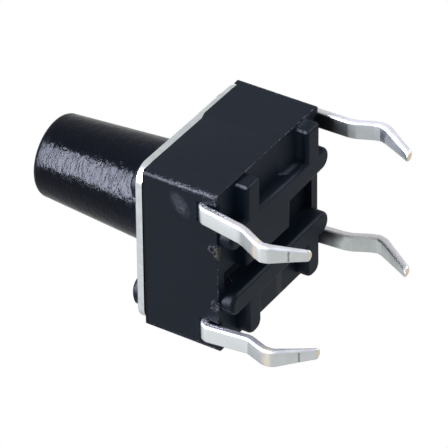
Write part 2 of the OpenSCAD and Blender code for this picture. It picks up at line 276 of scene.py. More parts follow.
def torn_nylon():
    """Nylon torn or squeezed thin at the rim: pale where stretched, here and there tan."""
    material, tree = new_material("nylon_flash_torn")
    place = in_mm(tree)
    # patches about a tenth of a millimetre across
    patches = add(tree, NOISE, Vector=place, Scale=9.0, Detail=2.0)
    shade = add(tree, MAP_RANGE, Value=patches, From_Min=0.42, From_Max=0.6)
    colour = add(tree, MIX, data_type="RGBA", Factor=shade, A=linear("#2b2d33"), B=linear("#666a73"))
    gate = add(tree, VECTOR_MATH, operation="DISTANCE", Vector=[place, (2.95, 0.85, 0.5)]).outputs["Value"]
    tan = add(tree, MAP_RANGE, Value=gate, From_Min=0.3, From_Max=0.14, To_Max=0.8)
    colour = add(tree, MIX, data_type="RGBA", Factor=tan, A=colour, B=linear("#5f5a50"))
    shader = add(tree, "ShaderNodeBsdfPrincipled", Base_Color=colour, Roughness=0.5, Specular_IOR_Level=0.2)
    add(tree, "ShaderNodeOutputMaterial", Surface=shader)
    return material


def polished_button():
    """Nylon moulded in a polished cavity: near black and glossy, its skin rippled by short strokes."""
    material, tree = new_material("black_nylon_polish_moulded")
    place = in_mm(tree)
    # strokes about 0.35 mm long round the stem and 0.12 mm apart along it, bent by a broader wave
    bend = add(tree, NOISE, Vector=place, Scale=1.6, Detail=2.0).outputs["Color"]
    bent = add(tree, VECTOR_MATH, operation="MULTIPLY_ADD", Vector=[bend, (0.3, 0.3, 0.3), place])
    strokes = add(tree, MAPPING, Vector=bent, Scale=(2.9, 2.9, 8.0))
    strokes = add(tree, NOISE, Vector=strokes, Scale=1.0, Detail=2.5, Roughness=0.6, Distortion=1.1)
    broad = add(tree, NOISE, Vector=place, Scale=2.4, Detail=2.0)
    wave = add(tree, BUMP, Height=broad, Strength=1.0, Distance=0.016 * MM)
    fine = add(tree, BUMP, Height=strokes, Strength=1.0, Distance=0.016 * MM, Normal=wave)
    dull = add(tree, MAP_RANGE, Value=strokes, From_Min=0.35, From_Max=0.65, To_Min=0.12, To_Max=0.22)
    # handling has dulled the free end
    height = add(tree, "ShaderNodeSeparateXYZ", Vector=place).outputs["Z"]
    handled = add(tree, MAP_RANGE, Value=height, From_Min=8.2, From_Max=8.6, To_Max=0.22)
    dull = add(tree, MATH, operation="ADD", Value=[dull, handled])
    shader = add(tree, "ShaderNodeBsdfPrincipled", Base_Color=linear("#0d131f"), Roughness=dull,
                 Specular_IOR_Level=0.06, Normal=fine)
    add(tree, "ShaderNodeOutputMaterial", Surface=shader)
    return material


def stamped_steel():
    """Stainless steel, rolled and stamped: pale grey, satin, with fine roll lines."""
    material, tree = new_material("stainless_steel_stamped")
    place = in_mm(tree)
    # roll lines along Y, drawn 0.03 mm apart, coarser than real ones; clouds of a third of a millimetre
    lines = add(tree, MAPPING, Vector=place, Scale=(30, 1.6, 10))
    lines = add(tree, NOISE, Vector=lines, Scale=1.0, Detail=3.0)
    clouds = add(tree, NOISE, Vector=place, Scale=3.0, Detail=3.0)
    shade = add(tree, MAP_RANGE, Value=clouds, From_Min=0.35, From_Max=0.65)
    colour = add(tree, MIX, data_type="RGBA", Factor=shade, A=linear("#b5babb"), B=linear("#c2c7c8"))
    fine = add(tree, BUMP, Height=lines, Strength=0.5, Distance=0.004 * MM)
    shader = add(tree, "ShaderNodeBsdfPrincipled", Base_Color=colour, Metallic=1.0, Roughness=0.28,
                 Normal=fine)
    add(tree, "ShaderNodeOutputMaterial", Surface=shader)
    return material


def plated_strip():
    """Silver-plated strip, sheared and bent: bright and smooth, with the torn line of the shear down its
    edges, tan where the plating cracked at the knees and where the ends were cut."""
    material, tree = new_material("silver_plated_strip")
    on_strip = add(tree, "ShaderNodeAttribute", attribute_name="strip_place").outputs["Vector"]
    place = add(tree, MAPPING, Vector=on_strip, Scale=(1 / MM, 1 / MM, 1 / MM))
    spot = add(tree, "ShaderNodeSeparateXYZ", Vector=place).outputs
    left = add(tree, "ShaderNodeAttribute", attribute_name="strip_left").outputs["Fac"]
    front = add(tree, "ShaderNodeSeparateXYZ", Vector=in_mm(tree)).outputs["X"]
    front = add(tree, MATH, operation="GREATER_THAN", Value=[front, 0.0])
    # the front and the back pins each get their own part of every pattern
    apart = add(tree, MATH, operation="MULTIPLY", Value=[front, 7.3])
    own = add(tree, VECTOR_MATH, operation="ADD", Vector=[place, apart])
    wide = add(tree, MATH, operation="ABSOLUTE", Value=spot["Y"])
    edge = 0.5 * PIN_W / MM

    # the plating, in clouds of about half a millimetre; the back pins are painted a little darker, as
    # painted shade for the dimmer reflections they show
    clouds = add(tree, NOISE, Vector=own, Scale=2.2, Detail=3.0, Roughness=0.6)
    dull = add(tree, MAP_RANGE, Value=clouds, From_Min=0.35, From_Max=0.7)
    colour = add(tree, MIX, data_type="RGBA", Factor=dull, A=linear("#d4d8d9"), B=linear("#c7cccc"))
    back_shade = add(tree, MIX, data_type="RGBA", Factor=front, A=linear("#e6e8e8"), B=(1, 1, 1, 1))
    colour = add(tree, MIX, data_type="RGBA", blend_type="MULTIPLY", Factor=1.0, A=colour, B=back_shade)
    sheared = add(tree, MAP_RANGE, Value=wide, From_Min=edge - 0.08, From_Max=edge - 0.02)

    # painted shade: the front pins' kinks are painted a duller grey, for the duller surroundings they
    # reflect
    ends = add(tree, MATH, operation="SUBTRACT", Value=[spot["X"], KINK_AT])
    ends = add(tree, MATH, operation="ABSOLUTE", Value=ends)
    kink_shade = add(tree, MAP_RANGE, Value=ends, From_Min=0.44, From_Max=0.34, To_Max=0.6)
    whole = add(tree, MATH, operation="SUBTRACT", Value=[1.0, sheared])
    for share in (front, whole):
        kink_shade = add(tree, MATH, operation="MULTIPLY", Value=[kink_shade, share])

    # painted reflection: the back pins are painted darker near the root, for the housing they reflect there
    root_shade = add(tree, MAP_RANGE, interpolation_type="SMOOTHSTEP", Value=spot["X"], From_Min=1.75,
                  From_Max=1.3, To_Max=0.85)
    bright = add(tree, MATH, operation="MAXIMUM", Value=[front, sheared])
    root_shade = add(tree, MATH, operation="MULTIPLY_ADD", use_clamp=True, Value=[bright, -1.0, root_shade])

    # bare metal: a patch at the outer knee of the front pins, and every cut end
    rags = add(tree, NOISE, Vector=own, Scale=7.0, Detail=3.0)
    ragged = add(tree, MATH, operation="MULTIPLY_ADD", Value=[rags, 0.16, -0.08])
    length = add(tree, MATH, operation="ADD", Value=[spot["X"], ragged])
    knee = add(tree, MATH, operation="SUBTRACT", Value=[length, KNEE_AT])
    knee = add(tree, MATH, operation="ABSOLUTE", Value=knee)
    knee = add(tree, MAP_RANGE, interpolation_type="SMOOTHSTEP", Value=knee, From_Min=0.04, From_Max=0.16,
               To_Min=0.6, To_Max=0.0)
    patchy = add(tree, MAP_RANGE, Value=clouds, From_Min=0.4, From_Max=0.52)
    for share in (patchy, front):
        knee = add(tree, MATH, operation="MULTIPLY", Value=[knee, share])
    end = add(tree, MATH, operation="LESS_THAN", Value=[left, NEAR])
    bare = add(tree, MATH, operation="MAXIMUM", Value=[knee, end])

    # a crack across each front pin's end
    wavy = add(tree, MATH, operation="MULTIPLY", Value=[ragged, 0.35])
    crack = add(tree, MATH, operation="MULTIPLY_ADD", Value=[left, 1 / MM, wavy])
    crack = add(tree, MATH, operation="SUBTRACT", Value=[crack, CRACK_AT])
    crack = add(tree, MATH, operation="ABSOLUTE", Value=crack)
    crack = add(tree, MAP_RANGE, interpolation_type="SMOOTHSTEP", Value=crack, From_Min=0.01, From_Max=0.05,
                To_Min=0.75, To_Max=0.0)
    faces = add(tree, MAP_RANGE, Value=wide, From_Min=0.24, From_Max=0.28, To_Min=1.0, To_Max=0.0)
    for share in (faces, front):
        crack = add(tree, MATH, operation="MULTIPLY", Value=[crack, share])

    # the torn line down the middle of each sheared edge, in tears about 0.09 mm long, worst near the root of
    # the front pins
    on_edge = add(tree, MATH, operation="GREATER_THAN", Value=[wide, edge - 0.02])
    low = add(tree, MATH, operation="ABSOLUTE", Value=spot["Z"])
    band = add(tree, MAP_RANGE, interpolation_type="SMOOTHSTEP", Value=low, From_Min=0.015, From_Max=0.05,
               To_Min=1.0, To_Max=0.0)
    least = add(tree, MAP_RANGE, Value=spot["X"], From_Min=0.8, From_Max=1.9, To_Min=0.6, To_Max=0.76)
    least = add(tree, MATH, operation="MULTIPLY_ADD", Value=[front, -0.1, least])
    pits = add(tree, MAPPING, Vector=own, Scale=(11, 14, 20))
    pits = add(tree, NOISE, Vector=pits, Scale=1.0, Detail=3.0, Roughness=0.7)
    torn = add(tree, MATH, operation="SUBTRACT", Value=[pits, least])
    torn = add(tree, MAP_RANGE, Value=torn, From_Max=0.05)
    for share in (band, on_edge):
        torn = add(tree, MATH, operation="MULTIPLY", Value=[torn, share])

    for mask, tint in ((sheared, "#c2c2c4"), (kink_shade, "#9a9fa1"), (root_shade, "#5a5e62"), (bare, "#e0d2b8"),
                       (crack, "#6f6b66"), (torn, "#56534f")):
        colour = add(tree, MIX, data_type="RGBA", Factor=mask, A=colour, B=linear(tint))

    # scratches along the strip, drawn 0.04 mm apart, coarser than real ones
    scratches = add(tree, MAPPING, Vector=own, Scale=(1, 25, 25))
    scratches = add(tree, NOISE, Vector=scratches, Scale=1.0, Detail=3.0, Roughness=0.6)
    depth = add(tree, MAP_RANGE, Value=front, To_Min=0.08, To_Max=0.35)
    fine = add(tree, BUMP, Height=scratches, Strength=depth, Distance=0.004 * MM)
    relief = add(tree, MATH, operation="MAXIMUM", Value=[torn, crack])
    dent = add(tree, BUMP, Height=relief, Strength=0.7, Distance=0.02 * MM, invert=True, Normal=fine)
    # the back pins and the sheared edges are less smooth
    rough = add(tree, MAP_RANGE, Value=dull, To_Min=0.32, To_Max=0.42)
    for share, less in ((front, -0.12), (sheared, 0.2)):
        rough = add(tree, MATH, operation="MULTIPLY_ADD", Value=[share, less, rough])
    shader = add(tree, "ShaderNodeBsdfPrincipled", Base_Color=colour, Metallic=1.0, Roughness=rough,
                 Normal=dent)
    add(tree, "ShaderNodeOutputMaterial", Surface=shader)
    return material


# ---------------------------------------------------------------- geometry nodes

def new_group(name, **inputs):
    """A geometry node tree with named inputs: numbers and lengths by their defaults, and a material."""
    tree = bpy.data.node_groups.new(name, "GeometryNodeTree")
    tree.interface.new_socket("Geometry", in_out="INPUT", socket_type="NodeSocketGeometry")
    for label, default in inputs.items():
        kind = "NodeSocketInt" if isinstance(default, int) else "NodeSocketFloat"
        made = tree.interface.new_socket(label.replace("_", " "), in_out="INPUT", socket_type=kind)
        made.default_value = default
    tree.interface.new_socket("Material", in_out="INPUT", socket_type="NodeSocketMaterial")
    tree.interface.new_socket("Geometry", in_out="OUTPUT", socket_type="NodeSocketGeometry")
    return tree, tree.nodes.new("NodeGroupInput").outputs


def end_group(tree, geometry, material):
    """Makes instances real and sets the material, as the tree's last nodes."""
    real = add(tree, "GeometryNodeRealizeInstances", Geometry=geometry)
    painted = add(tree, "GeometryNodeSetMaterial", Geometry=real, Material=material)
    add(tree, "NodeGroupOutput", Geometry=painted)


def grown(name, base, tree, material, **inputs):
    """What a geometry node tree grows from a base mesh, as a new object with a plain mesh."""
    piece = bpy.data.objects.new(name, base)
    bpy.context.scene.collection.objects.link(piece)
    modifier = piece.modifiers.new(tree.name, "NODES")
    modifier.node_group = tree
    sockets = {s.name: s.identifier for s in tree.interface.items_tree if s.in_out == "INPUT"}
    for label, value in {**inputs, "Material": material}.items():
        modifier[sockets[label.replace("_", " ")]] = value
    return settled(piece)


def settled(piece):
    """Works a piece's modifiers into its mesh and removes them."""
    graph = bpy.context.evaluated_depsgraph_get()
    mesh = bpy.data.meshes.new_from_object(piece.evaluated_get(graph))
    piece.modifiers.clear()
    piece.data = mesh
    mesh.name = piece.name
    return piece


def bent_strip_tree():
    """Sweeps a strip with rounded edges along a bent middle line, narrowed and thinned towards its level cut
    end."""
    tree, given = new_group("bent_strip", Width=PIN_W, Thickness=STRIP_T, Edge_Radius=STRIP_EDGE,
                            Bend_Radius=BEND_R, Tip_Width=TIP_W, Tip_Thickness=TIP_T, Taper=TIP_TAPER,
                            Thinning=TIP_TAPER, Corner_Radius=TIP_CORNER, Ring_Spacing=0.03 * MM)
    line = add(tree, "GeometryNodeMeshToCurve", Mesh=given["Geometry"])
    line = add(tree, "GeometryNodeFilletCurve", mode="POLY", Curve=line, Count=8,
               Radius=given["Bend Radius"], Limit_Radius=True)
    line = add(tree, "GeometryNodeResampleCurve", mode="LENGTH", Curve=line, Length=given["Ring Spacing"])
    along = add(tree, "GeometryNodeSplineParameter").outputs["Length"]
    total = add(tree, "GeometryNodeSplineLength").outputs["Length"]
    left = add(tree, MATH, operation="SUBTRACT", Value=[total, along])

    # how wide and thick the strip is at this distance from its cut end
    taper, short, thin = [add(tree, MATH, operation="DIVIDE", use_clamp=True, Value=[left, given[over]])
                          for over in ("Taper", "Corner Radius", "Thinning")]
    width = add(tree, MIX, Factor=taper, A=given["Tip Width"], B=given["Width"])
    thick = add(tree, MIX, Factor=thin, A=given["Tip Thickness"], B=given["Thickness"])
    # the cut end's corners are round
    short = add(tree, MATH, operation="SUBTRACT", Value=[1.0, short])
    square = add(tree, MATH, operation="MULTIPLY", Value=[short, -1.0])
    chord = add(tree, MATH, operation="MULTIPLY_ADD", Value=[short, square, 1.0])
    chord = add(tree, MATH, operation="SQRT", Value=chord)
    inset = add(tree, MATH, operation="SUBTRACT", Value=[1.0, chord])
    both = add(tree, MATH, operation="MULTIPLY", Value=[given["Corner Radius"], -2.0])
    width = add(tree, MATH, operation="MULTIPLY_ADD", Value=[inset, both, width])

    # what each ring passes on to its points, the sizes as shares of the full ones
    kept = {"middle": add(tree, "GeometryNodeInputPosition"), "way": add(tree, "GeometryNodeInputTangent"),
            "along": along, "strip_left": left,
            "wide": add(tree, MATH, operation="DIVIDE", Value=[width, given["Width"]]),
            "thick": add(tree, MATH, operation="DIVIDE", Value=[thick, given["Thickness"]])}
    kinds = {label: "FLOAT_VECTOR" if label in ("middle", "way") else "FLOAT" for label in kept}
    for label, value in kept.items():
        line = add(tree, "GeometryNodeStoreNamedAttribute", data_type=kinds[label], Geometry=line,
                   Name=label, Value=value)
    read = {label: add(tree, "GeometryNodeInputNamedAttribute", data_type=kinds[label], Name=label)
            for label in kept}

    section = add(tree, "GeometryNodeCurvePrimitiveQuadrilateral", Width=given["Width"],
                  Height=given["Thickness"])
    section = add(tree, "GeometryNodeFilletCurve", mode="POLY", Curve=section, Count=4,
                  Radius=given["Edge Radius"])
    section = add(tree, "GeometryNodeStoreNamedAttribute", data_type="FLOAT_VECTOR", Geometry=section,
                  Name="across", Value=add(tree, "GeometryNodeInputPosition"))
    swept = add(tree, "GeometryNodeCurveToMesh", Curve=line, Profile_Curve=section, Fill_Caps=True)

    # each point goes back to its place beside the middle line; the strip thins from its inner face
    across = add(tree, "GeometryNodeInputNamedAttribute", data_type="FLOAT_VECTOR", Name="across")
    across = add(tree, "ShaderNodeSeparateXYZ", Vector=across).outputs
    outward = add(tree, VECTOR_MATH, operation="CROSS_PRODUCT", Vector=[read["way"], (0, 1, 0)])
    spare = add(tree, MATH, operation="SUBTRACT", Value=[1.0, read["thick"]])
    shift = add(tree, MATH, operation="MULTIPLY", Value=[given["Thickness"], 0.5])
    shift = add(tree, MATH, operation="MULTIPLY", Value=[shift, spare])
    out = add(tree, MATH, operation="MULTIPLY_ADD", Value=[across["Y"], read["thick"], shift])
    side = add(tree, MATH, operation="MULTIPLY", Value=[across["X"], read["wide"]])

    # the narrowed end is coined: its two faces narrow faster than its sides, which leaves broad bevels
    face = add(tree, MATH, operation="ABSOLUTE", Value=across["Y"])
    face = add(tree, MAP_RANGE, Value=face, From_Min=0.5 * STRIP_T - STRIP_EDGE, From_Max=0.5 * STRIP_T)
    coined = add(tree, MATH, operation="SUBTRACT", Value=[read["wide"], 1.0])
    coined = add(tree, MATH, operation="MULTIPLY", Value=[coined, face])
    coined = add(tree, MATH, operation="MULTIPLY_ADD", Value=[coined, 0.5, 1.0])
    side = add(tree, MATH, operation="MULTIPLY", Value=[side, coined])

    # near the end, the rings are sheared along the strip until the cut lies level
    level = add(tree, MAP_RANGE, Value=read["strip_left"], From_Max=0.2 * MM, To_Min=-1.0, To_Max=0.0)
    rise, fall = [add(tree, "ShaderNodeSeparateXYZ", Vector=way).outputs["Z"]
                  for way in (outward, read["way"])]
    shear = add(tree, MATH, operation="DIVIDE", Value=[rise, fall])
    for share in (level, out):
        shear = add(tree, MATH, operation="MULTIPLY", Value=[shear, share])
    spot = add(tree, VECTOR_MATH, operation="SCALE", Vector=outward, Scale=out)
    slid = add(tree, VECTOR_MATH, operation="SCALE", Vector=read["way"], Scale=shear)
    for step in (slid, read["middle"], add(tree, "ShaderNodeCombineXYZ", Y=side)):
        spot = add(tree, VECTOR_MATH, operation="ADD", Vector=[spot, step])
    swept = add(tree, "GeometryNodeSetPosition", Geometry=swept, Position=spot)
    spread = add(tree, "ShaderNodeCombineXYZ", X=read["along"], Y=across["X"], Z=across["Y"])
    swept = add(tree, "GeometryNodeStoreNamedAttribute", data_type="FLOAT_VECTOR", Geometry=swept,
                Name="strip_place", Value=spread)
    for label in ("middle", "way", "along", "wide", "thick", "across"):
        swept = add(tree, "GeometryNodeRemoveAttribute", Geometry=swept, Name=label)
    end_group(tree, swept, given["Material"])
    return tree


def flash_tree():
    """Runs a ragged thread along a line: flash squeezed out at a parting line."""
    tree, given = new_group("flash", Radius=0.016 * MM, Wander=0.02 * MM, Spacing=0.03 * MM, Grain=0.16 * MM)
    line = add(tree, "GeometryNodeMeshToCurve", Mesh=given["Geometry"])
    line = add(tree, "GeometryNodeResampleCurve", mode="LENGTH", Curve=line, Length=given["Spacing"])
    scale = add(tree, MATH, operation="DIVIDE", Value=[1.0, given["Grain"]])
    noise = add(tree, NOISE, Vector=add(tree, "GeometryNodeInputPosition"), Scale=scale, Detail=3.0)
    shift = add(tree, VECTOR_MATH, operation="SUBTRACT", Vector=[noise.outputs["Color"], (0.5, 0.5, 0.5)])
    # the noise seldom leaves the middle half of its range
    both = add(tree, MATH, operation="MULTIPLY", Value=[given["Wander"], 4.0])
    shift = add(tree, VECTOR_MATH, operation="SCALE", Vector=shift, Scale=both)
    thick = add(tree, MAP_RANGE, Value=noise.outputs[0], From_Min=0.48, From_Max=0.64, To_Min=0.08)
    line = add(tree, "GeometryNodeStoreNamedAttribute", data_type="FLOAT", Geometry=line, Name="thick",
               Value=thick)
    line = add(tree, "GeometryNodeSetPosition", Geometry=line, Offset=shift)
    thick = add(tree, "GeometryNodeInputNamedAttribute", data_type="FLOAT", Name="thick")
    section = add(tree, "GeometryNodeCurvePrimitiveCircle", Resolution=6, Radius=given["Radius"])
    swept = add(tree, "GeometryNodeCurveToMesh", Curve=line, Profile_Curve=section, Scale=thick,
                Fill_Caps=True)
    swept = add(tree, "GeometryNodeRemoveAttribute", Geometry=swept, Name="thick")
    end_group(tree, swept, given["Material"])
    return tree


def crumb_tree():
    """Scatters small lumps over a patch."""
    tree, given = new_group("crumbs", Spacing=0.04 * MM, Least=0.01 * MM, Most=0.04 * MM, Seed=1)
    area = add(tree, MATH, operation="POWER", Value=[given["Spacing"], 2.0])
    density = add(tree, MATH, operation="DIVIDE", Value=[1.0, area])
    points = add(tree, "GeometryNodeDistributePointsOnFaces", Mesh=given["Geometry"], Density=density,
                 Seed=given["Seed"])
    size = add(tree, "FunctionNodeRandomValue", data_type="FLOAT_VECTOR", Min=given["Least"],
               Max=given["Most"], Seed=given["Seed"])
    turn = add(tree, "FunctionNodeRandomValue", data_type="FLOAT_VECTOR", Max=(tau, tau, tau),
               Seed=given["Seed"])
    lump = add(tree, "GeometryNodeMeshIcoSphere", Radius=1.0, Subdivisions=1)
    placed = add(tree, "GeometryNodeInstanceOnPoints", Points=points, Instance=lump, Scale=size,
                 Rotation=turn)
    end_group(tree, placed, given["Material"])
    return tree


# ---------------------------------------------------------------- mesh helpers

def new_piece(name, form):
    """A linked object from a bmesh, smooth but for edges sharper than 35 degrees."""
    mesh = bpy.data.meshes.new(name)
    form.to_mesh(mesh)
    form.free()
    mesh.shade_smooth()
    mesh.set_sharp_from_angle(angle=radians(35))
    piece = bpy.data.objects.new(name, mesh)
    bpy.context.scene.collection.objects.link(piece)
    return piece


def merged(node):
    """A bmesh of a CAD node with its triangles joined and its flat faces whole."""
    form = bmesh.new()
    form.from_mesh(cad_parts[node].data)
    bmesh.ops.remove_doubles(form, verts=form.verts, dist=1e-7)
    bmesh.ops.dissolve_limit(form, angle_limit=radians(1), verts=form.verts, edges=form.edges)
    return form


def cut(form, faces, place, way, **more):
    """Cuts some faces of a bmesh along a plane, and gives the cut's vertices and edges."""
    parts = dict.fromkeys(part for face in faces for part in (face, *face.edges, *face.verts))
    done = bmesh.ops.bisect_plane(form, geom=list(parts), dist=1e-8, plane_co=place, plane_no=way, **more)
    return done["geom_cut"]


def prism(form, rings):
    """Adds a closed prism between two rings of points, given in the same order, to a bmesh."""
    low, high = [[form.verts.new(spot) for spot in ring] for ring in rings]
    for i in range(len(low)):
        form.faces.new((low[i - 1], low[i], high[i], high[i - 1]))
    form.faces.new(reversed(low))
    form.faces.new(high)


def round_off(form, width, segments, chosen):
    """Rounds the chosen outer edges of a bmesh."""
    edges = [e for e in form.edges if e.is_convex and e.calc_face_angle(0) > radians(50) and chosen(e)]
    bmesh.ops.bevel(form, geom=edges, offset=width, segments=segments, profile=0.5, affect="EDGES")
    bmesh.ops.recalc_face_normals(form, faces=form.faces)


def weighted(piece):
    """Flat faces stay flat beside rounded edges."""
    modifier = piece.modifiers.new("weighted", "WEIGHTED_NORMAL")
    modifier.keep_sharp = True
    return settled(piece)


def joined(name, pieces):
    """Several pieces as one object."""
    with bpy.context.temp_override(active_object=pieces[0], selected_editable_objects=pieces):
        bpy.ops.object.join()
    pieces[0].name = pieces[0].data.name = name
    return pieces[0]


def dress(piece, material, body, slot, *nodes):
    """Gives a piece its material, the body it rides on and the nodes it stands for."""
    piece.data.materials.clear()
    piece.data.materials.append(material)
    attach(piece, body)
    if nodes:
        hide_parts(*nodes)


# ---------------------------------------------------------------- pieces

def housing_shell():
    """The moulded housing: its ribs with well rounded feet, its rim only just softened."""
    form = merged("housing")
    round_feet(form)
    round_off(form, RIB_EDGE, 4, lambda e: all(v.co.z < NEAR for v in e.verts))
    round_off(form, RIM_EDGE, 2, lambda e: all(abs(v.co.z - RIM_Z) < NEAR for v in e.verts)
              and e.calc_length() > 0.1 * MM)

    # the top follows the cover, its outer edge a little less, and closes up to it along the back
    cut_across(form)
    for vert in form.verts:
        if vert.co.z > COVER_LOW.z - TOP_BAND:
            outer = vert.co.z < COVER_LOW.z - NEAR
            vert.co.z -= sag(vert.co) * (0.7 if outer else 1.0)
            if outer and vert.co.y > HALF - NEAR:
                vert.co.z += 0.05 * MM - 0.3 * sag(vert.co)
    return weighted(new_piece("housing_shell", form))


def round_feet(form):
    """Gives the long ribs' lower ends larger round corners."""
    row = LONG_RIB_END + FOOT_R
    cuts = [((0, row - down, 0), (0, 1, 0)) for down in (0, 0.09 * MM)]
    cuts += [((x + 0.08 * MM * i, 0, 0), (1, 0, 0)) for x in LONG_RIBS_X for i in range(-2, 3)]
    for place, way in cuts:
        form.normal_update()
        cut(form, [f for f in form.faces if abs(f.normal.z) < 0.5
                   and all(v.co.z < RIM_Z + NEAR and v.co.y < 0 for v in f.verts)], place, way)
    for vert in form.verts:
        middle = min(LONG_RIBS_X, key=lambda x: abs(x - vert.co.x))
        aside = abs(vert.co.x - middle)
        out, down = aside - (0.5 * LONG_RIB_W - FOOT_R), row - vert.co.y
        on_rib = (aside < 0.5 * LONG_RIB_W + NEAR and vert.co.y > LONG_RIB_END - NEAR
                  and vert.co.z < RIM_Z + NEAR)
        if on_rib and out > 0 and down > 0 and hypot(out, down) > FOOT_R:
            share = 1 - FOOT_R / hypot(out, down)
            vert.co.x -= share * out * (1 if vert.co.x > middle else -1)
            vert.co.y += share * down
    form.normal_update()


def cut_across(form):
    """Cuts a bmesh through at both ends of the step in the cover's back edge."""
    for x in STEP_X:
        cut(form, form.faces, (x, 0, 0), (1, 0, 0))


def sag(spot):
    """How much lower than flat the cover lies at a spot."""
    past = (spot.x - STEP_X[0]) / (STEP_X[1] - STEP_X[0])
    return SAG * (spot.y + HALF) / (2 * HALF) * min(max(past, 0.0), 1.0)


def cover_plate():
    """The stamped cover, with its sheared edges softened."""
    form = merged("cover")
    round_off(form, COVER_EDGE, 3, lambda e: all(v.co.z > COVER_HIGH.z - NEAR for v in e.verts))
    cut_across(form)
    for vert in form.verts:
        drop = sag(vert.co)
        if vert.co.y > HALF - ROLL_W and vert.co.z > COVER_HIGH.z - TOP_BAND:
            drop = max(drop, ROLL_DROP)
        vert.co.z -= drop
    return weighted(new_piece("cover_plate", form))


def corner_post():
    """The housing's far corner stands up past the round of the cover."""
    form = bmesh.new()
    low, high, middle = COVER_LOW.z - 0.08 * MM, COVER_HIGH.z - TOP_BAND, HALF - 0.6 * MM
    turns = [radians(30 + 30 * i / 8) for i in range(9)]
    outline = [(-HALF, HALF)]
    outline += [(-middle - COVER_ROUND * cos(a), middle + COVER_ROUND * sin(a)) for a in turns]
    prism(form, [[(x, y, z) for x, y in outline] for z in (low, high)])
    bmesh.ops.recalc_face_normals(form, faces=form.faces)
    corner = [e for e in form.edges if all(hypot(v.co.x + HALF, v.co.y - HALF) < NEAR for v in e.verts)]
    bmesh.ops.bevel(form, geom=corner, offset=0.1 * MM, segments=4, profile=0.5, affect="EDGES")
    round_off(form, 0.04 * MM, 2, lambda e: all(v.co.z > high - NEAR for v in e.verts))
    return new_piece("corner_post", form)


def push_button():
    """The button: a tapered stem with a rounded end on a square flange, and the boss under it."""
    inside = FLANGE_Z + 0.1 * MM
    outline = [(0, BUTTON_LOW.z), (BOSS_R, BUTTON_LOW.z), (BOSS_R, inside), (STEM_R, inside)]
    taper_top, rings, turns = BUTTON_HIGH.z - TIP_EDGE, 24, 8
    outline += [(STEM_R + (TIP_R - STEM_R) * i / rings, GUIDE_TOP + (taper_top - GUIDE_TOP) * i / rings)
                for i in range(rings + 1)]
    outline += [(TIP_R - TIP_EDGE * (1 - cos(a)), taper_top + TIP_EDGE * sin(a))
                for a in (pi / 2 * i / turns for i in range(1, turns + 1))]
    outline += [(r * MM, BUTTON_HIGH.z) for r in (1.1, 0.7, 0.3, 0)]
    form = bmesh.new()
    spots = [form.verts.new((r, 0, z)) for r, z in outline]
    edges = [form.edges.new(pair) for pair in zip(spots, spots[1:])]
    bmesh.ops.spin(form, geom=spots + edges, axis=(0, 0, 1), cent=(0, 0, 0), angle=2 * pi, steps=128)
    bmesh.ops.remove_doubles(form, verts=form.verts, dist=1e-7)
    # the stem sits a little to one side, within its running clearance in the cover
    bmesh.ops.translate(form, verts=form.verts, vec=STEM_SHIFT)

    # the flange is a square with large round corners
    middle = BUTTON_HIGH.x - FLANGE_R
    corners = [(middle, middle), (-middle, middle), (-middle, -middle), (middle, -middle)]
    angles = [(corner, pi / 2 * (turn + i / 12)) for turn, corner in enumerate(corners) for i in range(13)]
    prism(form, [[(x + FLANGE_R * cos(a), y + FLANGE_R * sin(a), z) for (x, y), a in angles]
                 for z in (FLANGE_Z, FLANGE_TOP)])
    bmesh.ops.recalc_face_normals(form, faces=form.faces)
    return new_piece("push_button", form)


def pin_line(root, lean, start, run, out, flat, slope, reach, ease):
    """The middle line of a solder pin on the +X side, as (x, z) points from inside the notch to the cut end,
    all in millimetres. Each knee is split into two turns, an ease before and after the true corner."""
    lean, top = radians(lean), STRIP_Z / MM
    kink, level = -start - run, -start - run - flat
    down = [(0, -start), (out, kink), (out, level), (out - slope, level - 1)]
    turned = [(root + x * cos(lean) - (z - top) * sin(lean), top + x * sin(lean) + (z - top) * cos(lean))
              for x, z in down]
    # the end is moved along its own slope to the stated reach
    (x1, z1), (x2, z2) = turned[-2:]
    share = (z1 + reach) / (z1 - z2)
    turned[-1] = (x1 + (x2 - x1) * share, z1 + (z2 - z1) * share)
    line = [(NOTCH_X / MM - 0.01, top), (root, top)]
    for before, knee, after in zip([line[1]] + turned, turned, turned[1:]):
        for other in (before, after):
            away = Vector(other) - Vector(knee)
            line.append(tuple(Vector(knee) + away.normalized() * min(ease, 0.4 * away.length)))
    return [(x * MM, z * MM) for x, z in line + turned[-1:]]


def solder_pin(bends, tree, material, y, ease, tip_t):
    """One pin, grown along its middle line."""
    side = 1 if "front" in bends else -1
    line = pin_line(*BENDS[bends], ease)
    base = bpy.data.meshes.new(bends)
    base.from_pydata([(side * x, y, z) for x, z in line], [(i, i + 1) for i in range(len(line) - 1)], [])
    (x1, z1), (x2, z2) = line[-2:]
    end = hypot(x2 - x1, z2 - z1)
    return grown(f"{bends}_pin", base, tree, material, Taper=TIP_TAPER * end / abs(z2 - z1), Thinning=end,
                 Tip_Thickness=tip_t)


def terminal_core(node):
    """The part of a terminal inside the housing: its strip and contact tongues, cut off at the notches."""
    form = merged(node)
    for side in (-1, 1):
        ends = cut(form, form.faces, (side * (NOTCH_X - 0.005 * MM), 0, 0), (side, 0, 0), clear_outer=True)
        edges = [e for e in ends if isinstance(e, bmesh.types.BMEdge) and e.verts[0].co.z > 0]
        bmesh.ops.edgenet_fill(form, edges=edges)
    # what lies below the board is the end of a pin that leans back under the housing
    bmesh.ops.delete(form, geom=[v for v in form.verts if v.co.z < 0], context="VERTS")
    bmesh.ops.recalc_face_normals(form, faces=form.faces)
    return new_piece(f"{node}_core", form)


